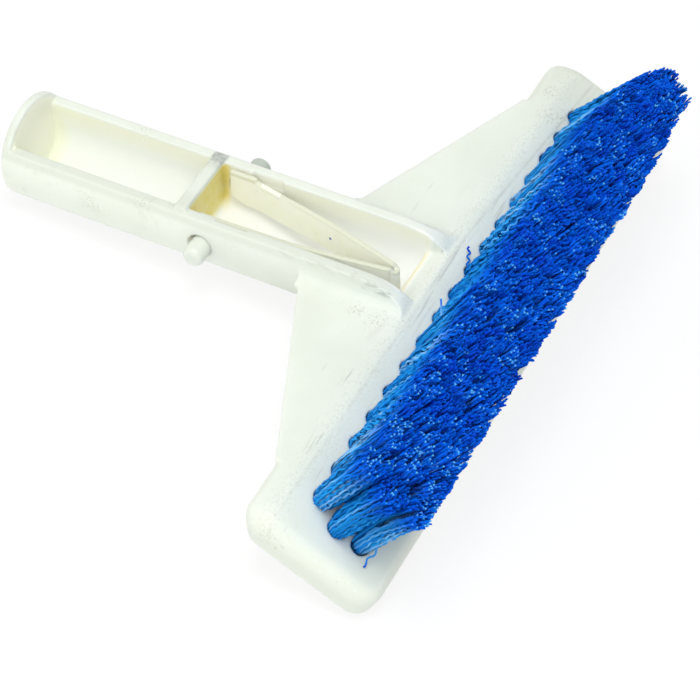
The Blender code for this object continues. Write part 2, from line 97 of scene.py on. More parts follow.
# The skins: how fine their even mesh is, and how often it is smoothed
MOULDING_SKIN = (0.38, 4)
CLIP_SKIN = (0.22, 6)

# Clip and its buttons
CLIP_BOTTOM = -3.8
CLIP_TOP = 5.6
CLIP_THICK = 1.4
CLIP_TOP_HINGE = 4.2
CLIP_TOP_NOSE = 3.0
CLIP_TAPER = 18.0
CLIP_APEX_X = 2.5
BEND_RADIUS = 1.0
NOSE_REACH = BEND_RADIUS + CLIP_THICK / 2.0
NOSE_SLOPE = (CLIP_TOP_HINGE - CLIP_TOP_NOSE) / NOSE_REACH
HINGE_Y = 111.348
SEAM_HALF = 0.04
LEG_LEAN = 0.8
LEG_BOW = {-1.0: 0.50, 1.0: 0.58}
LEG_STRAIGHT = {-1.0: 5.0, 1.0: 24.5}
LEG_NARROWING = 0.985
LEG_TAIL = 3.2
LEG_END_STEP = 1.9
LEG_STEP_PAST_BUTTON = 1.3
LEG_SPARE = 1.2
BEND_SPARE = 1.0
LEFT_RISE = 0.7
LEFT_RISE_END = 66.0
LEFT_DIP = 0.2
LEFT_DIP_END = 75.0
BUTTON_Y = 61.5
BUTTON_RADIUS = 2.95
BUTTON_PROUD = 5.0
BUTTON_TIP = ((1.0, BUTTON_RADIUS), (0.35, 2.6), (0.0, 2.0))  # how far back, and the radius there
HOLES = ((-1.0, 0.83, 3.88), (1.0, 0.54, 3.49))  # side, set back from the button, half length
HOLE_HALF_HEIGHT = 3.2
HOLE_REACH = 18.0
BLOCK = (70.9, 3.2, 4.2)  # the pale block's middle along the leg, half length and foot
FLECK = (90.9, 0.9, 0.45)  # the blue fleck's place and radius

# Tufts and their filaments
ROW_COUNTS = (17, 18, 18)
ROW_END_MARGIN = 16.5
PITCH = (BAR_LENGTH - 2.0 * ROW_END_MARGIN) / (ROW_COUNTS[0] - 1)
ROW_OFFSETS = (8.1, 15.0, 21.9)
TUFT_RADIUS = 2.6
TUFT_HOLE_DEPTH = 6.5
BRISTLE_LENGTH = 34.0
LEAN_X = 2.4
LEAN_W = 3.2
FILAMENTS = 96
FILAMENT_POINTS = 36
FILAMENT_SIDES = 3
FILAMENT_RADIUS = 0.31
ROOT_RADIUS = 1.9
ROOT_DEPTH = 2.5
FLARE_X = 7.4
FLARE_W = 5.2
FLARE_W_OUTER = 3.2
LOCKS = 7
GATHER = 0.22
TIP_SPREAD_X = 5.0
TIP_SPREAD_W = 4.2
TIP_BACK = 0.2
GOLDEN_ANGLE = 2.39996
TIP_LIMIT_W = 28.1

# How the end tufts differ in the rear, middle and front row
NEAR_TUCK = (0.3, 1.4, 2.8)
NEAR_SPLAY_X = (0.6, 0.6, 0.9)
NEAR_SPLAY_W = (0.0, 0.0, 1.2)
NEAR_DROP = 0.6
# Near-end tufts are painted paler, as painted light
NEAR_PAINTED_LIGHT = 0.28
FAR_SPLAY_X = (2.2, 1.4, 2.6)
FAR_SPLAY_W = (4.2, 0.6, -1.2)
FAR_DROP = (1.8, 0.2, 1.0)

# Where the tips end at the far end: places along x, and the least and greatest w there
EDGE_X = (-76.6, -75.1, -71.5, -67.9, -60.4, -54.4, -47.0, -40.0)
EDGE_LOW = (19.0, 15.6, 13.4, 11.7, 8.6, 6.4, 3.1, 0.3)
EDGE_HIGH = (25.4, 27.4, 27.6, 27.4, 26.9, 28.0, 28.7, 28.9)

# Stray filaments by row: two ends as (x, w, height over the bar), waves, swing and shade
STRAYS = {
    0: (
        ((-8.1, 6.3, 0.8), (-13.8, 3.2, 1.6), 3.0, 0.4, -0.9),
        ((18.4, 8.1, 10.0), (17.4, 3.2, 18.0), 0.5, 0.05, 1.2),
    ),
    2: (((77.0, 25.3, 5.2), (81.8, 24.9, 0.45), 1.9, 0.36, 0.5),),
}

# Where wear on the rims' outer edges comes in, grows and stops along the handle
WEAR_STARTS = (78.0, 86.0)
WEAR_GROWS = (106.0, 115.0)
WEAR_STOPS = (120.5, 122.5)

# Smudges on the moulding: place, radius and strength
SMUDGES = (
    ((14.1, 28.0, 1.5), 2.6, 0.5),
    ((13.9, 25.5, 3.4), 1.6, 0.35),
    ((14.2, 30.6, -0.4), 1.8, 0.3),
    ((11.6, 105.2, 7.3), 0.7, 1.0),
    ((19.0, 115.7, 2.4), 3.2, 0.5),
    ((18.2, 109.4, 2.4), 2.4, 0.5),
    ((19.6, 122.0, 1.9), 2.2, 0.4),
    ((-67.1, 123.2, 1.5), 3.4, 0.5),
    ((-71.3, 126.6, -0.3), 2.4, 0.6),
    ((-75.0, 119.7, 2.4), 2.4, 0.5),
    ((-70.0, 125.5, 0.2), 2.0, 0.9),
    ((88.3, 124.4, -4.4), 0.9, 0.9),
    ((-60.0, 128.0, -1.0), 4.0, 0.3),
    ((-11.5, 30.0, 7.3), 3.0, 0.3),
    ((12.0, 44.0, 6.8), 2.6, 0.35),
    ((40.0, 118.0, 2.4), 3.0, 0.25),
    ((0.0, 121.0, 2.0), 5.0, 0.25),
    ((60.0, 124.0, 1.0), 4.0, 0.25),
    ((13.4, 70.0, 4.6), 2.5, 0.12),
)

# The camera, fitted to the photograph: its axes and place in the tool frame
PHOTO_WIDTH_PIXELS = 700.0
FOCAL_PIXELS = 2747.4
SENSOR_WIDTH = 36.0
CAMERA_RIGHT = Vector((-0.464429, 0.884803, -0.037806))
CAMERA_UP = Vector((-0.673201, -0.324979, 0.664221))
CAMERA_TOWARD = Vector((0.575418, 0.333935, 0.746579))
CAMERA_SHIFT = (86.46989, -56.29898)
CAMERA_DISTANCE = 739.95

ACROSS = Vector((1.0, 0.0, 0.0))
FORWARD = Vector((0.0, math.cos(BAR_TILT), -math.sin(BAR_TILT)))
OUTWARD = Vector((0.0, math.sin(BAR_TILT), math.cos(BAR_TILT)))
CREASE = Vector((0.0, CREASE_Y, WING_TOP))


def arc(centre, radius, start, end, steps):
    """Points of an arc in a plane, angles in degrees."""
    points = []
    for i in range(steps + 1):
        angle = math.radians(start + (end - start) * i / steps)
        points.append((centre[0] + radius * math.cos(angle), centre[1] + radius * math.sin(angle)))
    return points


def rounded_outline(corners, steps):
    """A closed outline whose corners, given as (point, radius), are arcs."""
    outline = []
    count = len(corners)
    for i, (corner, radius) in enumerate(corners):
        here = Vector(corner)
        back = (Vector(corners[i - 1][0]) - here).normalized()
        ahead = (Vector(corners[(i + 1) % count][0]) - here).normalized()
        half = back.angle(ahead) / 2.0
        centre = here + (back + ahead).normalized() * radius / math.sin(half)
        first = here + back * radius / math.tan(half) - centre
        last = here + ahead * radius / math.tan(half) - centre
        sweep = first.angle_signed(last)
        for step in range(steps + 1):
            outline.append(tuple(centre + Matrix.Rotation(-sweep * step / steps, 2) @ first))
    return outline


def loft(bm, rings):
    """A closed skin through rings of equal length, with flat ends."""
    loops = [[bm.verts.new(point) for point in ring] for ring in rings]
    for near, far in zip(loops, loops[1:]):
        for i in range(len(near)):
            j = (i + 1) % len(near)
            bm.faces.new((near[i], near[j], far[j], far[i]))
    bm.faces.new(list(reversed(loops[0])))
    bm.faces.new(loops[-1])


def new_object(name, data):
    obj = bpy.data.objects.new(name, data)
    bpy.context.collection.objects.link(obj)
    return obj


def object_from(bm, name):
    bmesh.ops.recalc_face_normals(bm, faces=bm.faces)
    mesh = bpy.data.meshes.new(name)
    bm.to_mesh(mesh)
    bm.free()
    return new_object(name, mesh)


def prism(name, outline, axis, low, high):
    """An outline extruded along an axis; it lies in the other two, in order."""
    places = {"X": (1, 2), "Y": (0, 2), "Z": (0, 1)}[axis]
    rings = []
    for value in (low, high):
        ring = []
        for pair in outline:
            point = [value, value, value]
            point[places[0]] = pair[0]
            point[places[1]] = pair[1]
            ring.append(tuple(point))
        rings.append(ring)
    bm = bmesh.new()
    loft(bm, rings)
    return object_from(bm, name)


def turned(name, profile, segments, axis):
    """A solid of revolution; profile holds (distance along the axis, radius)."""
    rings = []
    for along, radius in profile:
        ring = []
        for i in range(segments):
            angle = 2.0 * math.pi * (i + 0.5) / segments
            across = (radius * math.cos(angle), radius * math.sin(angle))
            ring.append((along, *across) if axis == "X" else (across[0], along, across[1]))
        rings.append(ring)
    bm = bmesh.new()
    loft(bm, rings)
    return object_from(bm, name)


def combine(target, tool, operation):
    modifier = target.modifiers.new(tool.name, "BOOLEAN")
    modifier.operation = operation
    modifier.solver = "EXACT"
    modifier.object = tool
    settle(target)
    bpy.data.objects.remove(tool, do_unlink=True)


def settle(obj):
    """Turns an object's modifiers into plain mesh."""
    bpy.context.view_layer.update()
    evaluated = obj.evaluated_get(bpy.context.evaluated_depsgraph_get())
    mesh = bpy.data.meshes.new_from_object(evaluated)
    obj.modifiers.clear()
    old = obj.data
    obj.data = mesh
    bpy.data.meshes.remove(old)


def even_skin(obj, voxel, passes):
    """Rebuilds an object with an even mesh and rounds its edges a little."""
    remesh = obj.modifiers.new("even_skin", "REMESH")
    remesh.mode = "VOXEL"
    remesh.voxel_size = voxel
    soften = obj.modifiers.new("moulded_edges", "SMOOTH")
    soften.factor = 0.5
    soften.iterations = passes
    settle(obj)


def points_of(mesh):
    """A mesh's points as three arrays: x, y and z."""
    co = np.empty(len(mesh.vertices) * 3)
    mesh.vertices.foreach_get("co", co)
    return co.reshape(-1, 3).T


def store(mesh, labels):
    """Keeps each label's value at every point, for the materials to read."""
    for label, values in labels.items():
        attribute = mesh.attributes.new(label, "FLOAT", "POINT")
        attribute.data.foreach_set("value", values.astype(np.float32))


def place(obj):
    """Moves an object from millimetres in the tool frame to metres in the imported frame."""
    obj.data.transform(TOOL @ Matrix.Scale(0.001, 4))
    obj.data.shade_smooth()


def trough_outline():
    """The trough's section: a half round below and straight walls above."""
    outline = [(-TROUGH_HALF, TROUGH_MOUTH)]
    outline += arc((0.0, 0.0), TROUGH_HALF, 180.0, 360.0, 36)
    outline += [(TROUGH_HALF, TROUGH_MOUTH)]
    return outline


def trough_cutter(name, rings):
    bm = bmesh.new()
    loft(bm, rings)
    bmesh.ops.triangulate(bm, faces=bm.faces)
    return object_from(bm, name)


def rear_trough():
    """The rear compartment, rounded where it meets the end wall."""
    halfway_up = TROUGH_MOUTH / 2.0
    rings = []
    for step in range(7):
        angle = math.radians(15.0 * step)
        inset = REAR_FILLET * (1.0 - math.sin(angle))
        y = END_WALL + REAR_FILLET * (1.0 - math.cos(angle))
        scale = (TROUGH_HALF - inset) / TROUGH_HALF
        rings.append([(x * scale, y, z * scale if z < halfway_up else z) for x, z in trough_outline()])
    rings.append([(x, RIB[0], z) for x, z in trough_outline()])
    return trough_cutter("rear_trough", rings)


def wall_fillet(side):
    """The concave fillet between a shank wall and the gusset beside it."""
    top = WING_TOP + WALL_FILLET
    wall = math.sqrt(SHANK_RADIUS ** 2 - top ** 2)
    foot = math.sqrt(SHANK_RADIUS ** 2 - WING_TOP ** 2) + WALL_FILLET
    curve = arc((foot, top), foot - wall, 180.0, 270.0, 10)
    rise = WALL_FILLET / (foot - wall)
    curve = [(x, top + (z - top) * rise) for x, z in curve]
    overlap = 2.0
    low = WING_TOP - overlap
    outline = [(wall - overlap, top)] + curve + [(foot, low), (wall - overlap, low)]
    return prism("wall_fillet", [(side * x, z) for x, z in outline], "Y", WING_ROOT_Y, CREASE_Y)


def rib_cap():
    """The rib's top stands a little proud of the rims and has round ends."""
    low = RIM_HEIGHT - RIB_CAP_SINK
    sharp = 0.1
    corners = [((-RIB_CAP_HALF, low), sharp), ((RIB_CAP_HALF, low), sharp)]
    corners += [((RIB_CAP_HALF, RIB_CAP_TOP), RIB_CAP_ROUND), ((-RIB_CAP_HALF, RIB_CAP_TOP), RIB_CAP_ROUND)]
    start, end = RIB[0] - RIB_CAP_MARGIN, RIB[1] + RIB_CAP_MARGIN
    return prism("rib_cap", rounded_outline(corners, 6), "Y", start, end)


def front_trough():
    """The front compartment, whose foot curves up and runs out at the bar's top."""
    past = 3.0
    further = past / (CREASE_Y - FRONT_FOOT - TROUGH_HALF)
    stations = [(RIB[1], -TROUGH_HALF)]
    stations += arc((FRONT_FOOT, 0.0), TROUGH_HALF, 270.0, 360.0, 18)
    stations += [(CREASE_Y + past, WING_TOP * (1.0 + further))]
    rings = [[(x, y, max(z, foot)) for x, z in trough_outline()] for y, foot in stations]
    return trough_cutter("front_trough", rings)


def bar_section():
    """The bar's section across its length, as (w, n) from the crease."""
    rear_top = (-BAR_REAR_RUN * math.cos(BAR_TILT), -BAR_REAR_RUN * math.sin(BAR_TILT))
    rear_foot = rear_top[0] + (BAR_THICK + rear_top[1]) * math.tan(BAR_TILT)
    corners = [(rear_top, BAR_REAR_EDGE), ((0.0, 0.0), CREASE_ROUND), ((BAR_FACE, 0.0), BAR_EDGE)]
    corners += [((BAR_FACE, -BAR_THICK), BAR_EDGE), ((rear_foot, -BAR_THICK), BAR_EDGE)]
    return rounded_outline(corners, 6)


def drawn_in(radius, inset):
    """How far a round corner has drawn in at an inset from the end."""
    left = max(radius - inset, 0.0)
    return radius - math.sqrt(max(radius * radius - left * left, 0.0))


def bar():
    """The bar, its ends drawn in to round corners and edges."""
    outline = bar_section()
    widths = [p[0] for p in outline]
    middle = (max(widths) + min(widths)) / 2.0
    half = (max(widths) - min(widths)) / 2.0
    insets = [END_EDGE * (1.0 - math.cos(math.radians(a))) for a in range(0, 91, 6)]
    insets += [(END_EDGE + BAR_CORNER) / 2.0, BAR_CORNER]
    rings = []
    for side in (-1.0, 1.0):
        for inset in (insets if side < 0 else reversed(insets)):
            scale_w = 1.0 - drawn_in(BAR_CORNER, inset) / half
            scale_n = 1.0 - drawn_in(END_EDGE, inset) / (BAR_THICK / 2.0)
            ring = []
            for w, n in outline:
                along = middle + (w - middle) * scale_w
                up = -BAR_THICK / 2.0 + (n + BAR_THICK / 2.0) * scale_n
                point = CREASE + FORWARD * along + OUTWARD * up
                ring.append((side * (BAR_LENGTH / 2.0 - inset), point.y, point.z))
            rings.append(ring)
    bm = bmesh.new()
    loft(bm, rings)
    return object_from(bm, "bar")


def tuft_mouths():
    """(row, column, mouth centre) of every tuft."""
    mouths = []
    for row, count in enumerate(ROW_COUNTS):
        for column in range(count):
            x = (column - (count - 1) / 2.0) * PITCH
            mouths.append((row, column, CREASE + ACROSS * x + FORWARD * ROW_OFFSETS[row]))
    return mouths


def tuft_holes():
    """One cutter with a round peg for every tuft."""
    above = 2.0
    sides = 20
    step = 360.0 / sides
    bm = bmesh.new()
    for _, _, mouth in tuft_mouths():
        rings = []
        for depth in (-TUFT_HOLE_DEPTH, above):
            ring = []
            for i in range(sides):
                angle = math.radians(step * i + step / 2.0)
                spot = mouth + ACROSS * TUFT_RADIUS * math.cos(angle)
                ring.append(spot + FORWARD * TUFT_RADIUS * math.sin(angle) + OUTWARD * depth)
            rings.append(ring)
        loft(bm, rings)
    return object_from(bm, "tuft_holes")


def ramp(values, low, high):
    """A smooth step that is 0 below low and 1 above high."""
    t = np.clip((values - low) / (high - low), 0.0, 1.0)
    return t * t * (3.0 - 2.0 * t)


def bump(values, middle, width):
    """1 at the middle, fading out within about twice the width."""
    return np.exp(-((values - middle) / width) ** 2)


def trough_marks(x, y, z):
    """The inside of the trough, which the material paints lighter as painted light, the front compartment
    most, with its cream and ochre stains.
    """
    reach = np.where(z > 0.0, np.abs(x), np.hypot(x, z))
    hollow = 1.0 - ramp(reach, TROUGH_HALF + 0.3, TROUGH_HALF + 0.9)
    hollow *= ramp(y, END_WALL - 1.2, END_WALL - 0.4)
    hollow *= 1.0 - ramp(z, RIM_HEIGHT - 0.9, RIM_HEIGHT - 0.2)
    hollow *= 1.0 - ramp(y, CREASE_Y - 5.8, CREASE_Y - 4.0)
    # The front compartment, painted lighter still as painted light
    front = hollow * ramp(y, RIB[0], RIB[1])
    cream = hollow * ramp(z, -2.0, 6.0) * (0.35 + 0.65 * ramp(-x, -2.0, 8.0))
    cream = np.maximum(cream, hollow * (1.0 - ramp(y, END_WALL + 1.0, END_WALL + 5.9)) * 0.95)
    # The end wall's upper part, above the half round
    upper = ramp(y, END_WALL - 0.5, END_WALL - 0.1) * (1.0 - ramp(y, END_WALL + 0.2, END_WALL + 0.7))
    upper *= ramp(13.6 - np.hypot(x, z), 0.0, 0.6) * (z > 5.0)
    cream = np.maximum(cream, upper)
    hollow = np.maximum(hollow, upper)
    # Ochre on the rib's front face and, fainter, where the ramp meets the bar
    face = 1.0 - ramp(y, RIB[1] + 0.3, RIB[1] + 2.6)
    face *= ramp(y, RIB[1] - 1.0, RIB[1] - 0.4) * ramp(z, -8.6, -3.5)
    brink = bump(y, CREASE_Y - 6.1, 0.8) * (1.0 - ramp(np.abs(x), 8.6, 9.6)) * (z > -5.0)
    ochre = np.maximum(hollow * face, 0.5 * brink)
    return {"hollow": hollow, "front": front, "cream": cream, "ochre": ochre}


def rim_marks(x, y, z, hollow):
    """Dust on the rib's cap, painted shade on the near rims' tops and the bar's ends, and the rims' worn
    outer edges.
    """
    dusty = (0.1 + 0.9 * ramp(-x, 4.0, 10.0)) * ramp(z, RIM_HEIGHT - 0.3, RIM_HEIGHT + 0.3)
    dusty *= ramp(y, RIB[0] - 0.9, RIB[0] - 0.2) * (1.0 - ramp(y, RIB[1], RIB[1] + 0.7))
    # Painted shade on the near rims' tops
    painted_shade = ramp(z, 4.6, 6.2) * (1.0 - hollow) * ramp(x, 2.0, 8.0) * (1.0 - ramp(y, 112.0, 120.0))
    # Painted shade: the bar darker towards its far end, and on its near end face
    end_shade = 0.8 * ramp(-x, 52.0, 80.0) * ramp(y, BAR_REAR_Y - 4.0, BAR_REAR_Y + 4.0)
    end_shade = np.maximum(end_shade, 0.5 * ramp(x, 84.0, 88.0))
    edge = np.sqrt(np.maximum(SHANK_RADIUS ** 2 - np.maximum(z, 0.0) ** 2, 0.0))
    ridge = 0.35 * ramp(y, *WEAR_STARTS) + 0.65 * ramp(y, *WEAR_GROWS)
    ridge *= (1.0 - ramp(y, *WEAR_STOPS)) * ramp(np.abs(x), edge - 0.9, edge - 0.3)
    ridge *= ramp(z, np.where(y < 108.0, 5.9, 4.6), np.where(y < 108.0, 6.7, 5.6))
    ridge *= (1.0 - ramp(z, 7.5, 8.0)) * (0.7 + 0.3 * (x > 0.0))
    return {"dusty": dusty, "painted_shade": np.maximum(painted_shade, end_shade), "ridge": ridge}


def wear_marks(x, y, z):
    """Where scratches may lie, the scraped stretch and dark line at the crease, and grime."""
    flat = np.maximum(ramp(np.abs(x), 15.0, 18.0), ramp(y, CREASE_Y - 4.0, CREASE_Y - 1.0))
    scraped = bump(y, CREASE_Y, 3.4) * (1.0 - ramp(np.abs(x), 13.0, 24.0)) * (z > -2.0)
    line_y = CREASE_Y + 0.9 + 0.07 * np.maximum(-x - 15.0, 0.0)
    seam = bump(y, line_y, 0.32) * (z > -4.0) * (0.5 + 0.5 * ramp(-x, -10.0, 10.0))
    grime = 0.22 * bump(y, CREASE_Y, 3.0) * (z > -4.0)
    for (sx, sy, sz), radius, strength in SMUDGES:
        far = ((x - sx) ** 2 + (y - sy) ** 2 + (z - sz) ** 2) / radius ** 2
        grime = np.maximum(grime, strength * np.exp(-far))
    return {"flat": flat, "scraped": scraped, "seam": seam, "grime": grime}


def mark_moulding(mesh):
    """Stores where the moulding is hollow, stained, dusty or worn, and where light or shade is painted,
    point by point.
    """
    x, y, z = points_of(mesh)
    labels = trough_marks(x, y, z)
    labels.update(rim_marks(x, y, z, labels["hollow"]))
    labels.update(wear_marks(x, y, z))
    # The button bores, which the material paints lighter as painted light
    bore = np.hypot(y - BUTTON_Y + 0.6, z * 1.1) < 4.0
    labels["bore"] = bore * (np.abs(x) < 13.6) * (np.abs(x) > 8.0)
    store(mesh, labels)


def above_rims():
    """What is cut off the shank: all above the rims, which curve down to the bar."""
    run = CREASE_Y - RIM_CURVE
    drop = RIM_HEIGHT - WING_TOP + RIM_CURVE_SINK
    radius = (run * run + drop * drop) / (2.0 * drop)
    sweep = math.degrees(math.asin(run / radius))
    past = CREASE + FORWARD * BAR_FACE * CUT_SHARE_OF_FACE - OUTWARD * CUT_SINK
    outline = [(END_WALL, ABOVE_RIMS), (END_WALL, RIM_HEIGHT)]
    outline += arc((RIM_CURVE, RIM_HEIGHT - radius), radius, 90.0, 90.0 - sweep, 14)
    outline += [(past.y, past.z), (past.y, ABOVE_RIMS)]
    return prism("above_rims", outline, "X", -ABOVE_RIMS_HALF, ABOVE_RIMS_HALF)


def wings():
    inside = BAR_REAR_Y + WING_OVERLAP
    outline = [(-WING_SPAN, BAR_REAR_Y), (-WING_ROOT_HALF, WING_ROOT_Y), (WING_ROOT_HALF, WING_ROOT_Y)]
    outline += [(WING_SPAN, BAR_REAR_Y), (WING_SPAN, inside), (-WING_SPAN, inside)]
    return prism("wings", outline, "Z", WING_TOP - WING_THICK, WING_TOP)


def clip_relief():
    """The shallow pockets in both walls beside the clip."""
    start, end = RELIEF_ALONG
    outline = [(start, RELIEF_FLOOR), (end, RELIEF_FLOOR), (end, RELIEF_TOP), (start, RELIEF_TOP)]
    return prism("clip_relief", outline, "X", *RELIEF_ACROSS)


def button_hole(side, set_back, half):
    outline = []
    for along, up in arc((0.0, 0.0), 1.0, 5.0, 355.0, 35):
        outline.append((BUTTON_Y - set_back + along * half, up * HOLE_HALF_HEIGHT))
    low, high = sorted((0.0, side * HOLE_REACH))
    return prism("button_hole", outline, "X", low, high)


def moulding():
    """The head and handle: solids joined and cut, then given moulded edges."""
    back = CREASE - OUTWARD * BAR_THICK
    reach = back.y + (SHANK_RADIUS + back.z) / math.tan(BAR_TILT)
    profile = [(along, SHANK_RADIUS - inset) for along, inset in SHANK_END] + [(reach, SHANK_RADIUS)]
    shank = turned("head_and_handle_skin", profile, 96, "Y")
    combine(shank, wall_fillet(-1.0), "UNION")
    combine(shank, wall_fillet(1.0), "UNION")
    combine(shank, above_rims(), "DIFFERENCE")
    for build in (wings, bar, rib_cap):
        combine(shank, build(), "UNION")
    for build in (rear_trough, front_trough, clip_relief):
        combine(shank, build(), "DIFFERENCE")
    for side, set_back, half in HOLES:
        combine(shank, button_hole(side, set_back, half), "DIFFERENCE")
    combine(shank, tuft_holes(), "DIFFERENCE")
    even_skin(shank, *MOULDING_SKIN)
    mark_moulding(shank.data)
    place(shank)
    return shank


def leg_path(side):
    """A leg's centre line from its free end, beside the wall, to its hinge."""
    foot = math.sqrt(TROUGH_HALF ** 2 - CLIP_BOTTOM ** 2)
    beside = side * (foot - SEAT_GAP - CLIP_THICK / 2.0)
    hinge_x = CLIP_APEX_X + side * BEND_RADIUS
    bow = LEG_BOW[side]
    straight = BUTTON_Y + LEG_STRAIGHT[side]
    path = [(beside, BUTTON_Y - LEG_TAIL), (beside, BUTTON_Y + BUTTON_RADIUS)]
    path.append((beside * LEG_NARROWING, straight))
    path += [(beside * bow + hinge_x * (1.0 - bow), (straight + HINGE_Y) / 2.0), (hinge_x, HINGE_Y)]
    return path


def curve_through(path, steps):
    """A smooth curve that keeps the path's ends and rounds its corners."""
    points = [path[0]]
    for a, b, c in zip(path, path[1:], path[2:]):
        start = ((a[0] + 3.0 * b[0]) / 4.0, (a[1] + 3.0 * b[1]) / 4.0)
        end = ((3.0 * b[0] + c[0]) / 4.0, (3.0 * b[1] + c[1]) / 4.0)
        for i in range(steps + 1):
            t = i / steps
            x = (1 - t) ** 2 * start[0] + 2 * t * (1 - t) * b[0] + t * t * end[0]
            y = (1 - t) ** 2 * start[1] + 2 * t * (1 - t) * b[1] + t * t * end[1]
            points.append((x, y))
    points.append(path[-1])
    return points


def strip(name, path, bottoms, tops, leans):
    """The clip's strip along a path; each top edge leans sideways a little."""
    rings = []
    for i, (x, y) in enumerate(path):
        before = Vector(path[max(i - 1, 0)])
        after = Vector(path[min(i + 1, len(path) - 1)])
        forward = (after - before).normalized()
        across = Vector((forward.y, -forward.x)) * CLIP_THICK / 2.0
        ring = []
        for edge, z in ((-1.0, bottoms[i]), (1.0, bottoms[i]), (1.0, tops[i]), (-1.0, tops[i])):
            lean = leans[i] * (z - CLIP_BOTTOM) / (CLIP_TOP - CLIP_BOTTOM)
            ring.append((x + edge * across.x + lean, y + edge * across.y, z))
        rings.append(ring)
    bm = bmesh.new()
    loft(bm, rings)
    return object_from(bm, name)


def mark_clip(mesh, side):
    """Stores the clip's pale block, its blue fleck, its top edge for painted shade and which button is
    which.
    """
    x, y, z = points_of(mesh)
    middle, half, foot = BLOCK
    block = (side < 0) * (np.abs(y - middle) < half) * (z > foot) * (np.abs(x) < TROUGH_HALF)
    fleck_y, fleck_z, fleck_radius = FLECK
    far = ((y - fleck_y) ** 2 + (z - fleck_z) ** 2) / fleck_radius ** 2
    # The top edge, which the material darkens as painted shade
    crest = CLIP_TOP_HINGE + (CLIP_TOP - CLIP_TOP_HINGE) * np.clip((HINGE_Y - y) / CLIP_TAPER, 0.0, 1.0)
    crest -= NOSE_SLOPE * np.clip(y - HINGE_Y, 0.0, SEAT_GAP + NOSE_REACH)
    crest_shade = np.clip((z - crest + 0.7) / 0.5, 0.0, 1.0)
    store(mesh, {
        "block": block,
        "fleck": (side < 0) * np.exp(-far),
        "end": np.clip(x / 10.0, -1.0, 1.0) ** 9,
        "crest": crest_shade * (np.abs(x) < 9.0) * (block == 0),
    })


def finish_clip(obj, side, beyond):
    """Rounds a clip piece and trims it square at the hinge, where beyond is +1 or -1."""
    even_skin(obj, *CLIP_SKIN)
    bm = bmesh.new()
    bm.from_mesh(obj.data)
    cut = (0.0, HINGE_Y + SEAM_HALF * beyond, 0.0)
    geom = list(bm.verts) + list(bm.edges) + list(bm.faces)
    bmesh.ops.bisect_plane(bm, geom=geom, plane_co=cut, plane_no=(0.0, -beyond, 0.0), clear_outer=True)
    bmesh.ops.holes_fill(bm, edges=[edge for edge in bm.edges if edge.is_boundary], sides=0)
    bm.to_mesh(obj.data)
    bm.free()
    mark_clip(obj.data, side)
    place(obj)


def clip_leg(name, side):
    """One leg of the clip with its button, a little too long until it is trimmed."""
    path = curve_through(leg_path(side), 8)
    before, last = Vector(path[-2]), Vector(path[-1])
    path.append(tuple(last + (last - before).normalized() * LEG_SPARE))
    step_y = BUTTON_Y + LEG_STEP_PAST_BUTTON
    bottoms = [CLIP_BOTTOM + (LEG_END_STEP if y <= step_y else 0.0) for _, y in path]
    rise = (CLIP_TOP - CLIP_TOP_HINGE) / CLIP_TAPER
    tops = [CLIP_TOP_HINGE + rise * min(HINGE_Y - y, CLIP_TAPER) for _, y in path]
    if side < 0:
        # The left leg stands higher at its end and has a shallow dip after it
        for i, (_, y) in enumerate(path):
            tops[i] += LEFT_RISE * (y < LEFT_RISE_END) - LEFT_DIP * (LEFT_RISE_END < y < LEFT_DIP_END)
    leans = [side * LEG_LEAN * min((HINGE_Y - y) / (HINGE_Y - BUTTON_Y), 1.0) for _, y in path]
    leg = strip(name, path, bottoms, tops, leans)
    tip = SHANK_RADIUS + BUTTON_PROUD
    profile = [(side * abs(path[0][0]), BUTTON_RADIUS)]
    profile += [(side * (tip - back), radius) for back, radius in BUTTON_TIP]
    button = turned(name + "_button", profile, 40, "X")
    button.data.transform(Matrix.Translation((0.0, BUTTON_Y, 0.0)))
    combine(leg, button, "UNION")
    finish_clip(leg, side, -1.0)
    return leg


def clip_bend():
    """The clip's closed end, a half turn between the two hinges."""
    centre = (CLIP_APEX_X, HINGE_Y + SEAT_GAP)
    path = [(CLIP_APEX_X + BEND_RADIUS, HINGE_Y - BEND_SPARE)]
    path += arc(centre, BEND_RADIUS, 0.0, 180.0, 12)
    path += [(CLIP_APEX_X - BEND_RADIUS, HINGE_Y - BEND_SPARE)]
    tops = [CLIP_TOP_HINGE - NOSE_SLOPE * (y - HINGE_Y) for _, y in path]
    obj = strip("clip_bend_skin", path, [CLIP_BOTTOM] * len(path), tops, [0.0] * len(path))
    finish_clip(obj, 0.0, 1.0)
    return obj


def filament_points(rng, root, tip, spread, pull, lock):
    """A crimped filament from root to tip; spread is how far it flares at once."""
    t = np.linspace(0.0, 1.0, FILAMENT_POINTS)[:, None]
    line = root + (tip - root) * t + spread * (t ** 0.5 - t) + pull * np.sin(math.pi * t ** 0.8)
    length = np.linalg.norm(tip - root)
    axis = (tip - root) / length
    side = np.cross(axis, lock["side"] + rng.normal(0.0, 0.25, size=3))
    side /= np.linalg.norm(side)
    phase = lock["phase"] + rng.normal(0.0, 0.05)
    waves = t * length / lock["wave"] + phase
    swing = rng.uniform(0.5, 1.0) * lock["swing"] * np.sin(2.0 * math.pi * waves)
    swing += rng.uniform(0.0, 0.4) * np.sin(2.0 * math.pi * (t * rng.uniform(1.2, 3.6) + rng.uniform()))
    return line + side * swing * np.clip(t * 6.0, 0.0, 1.0)


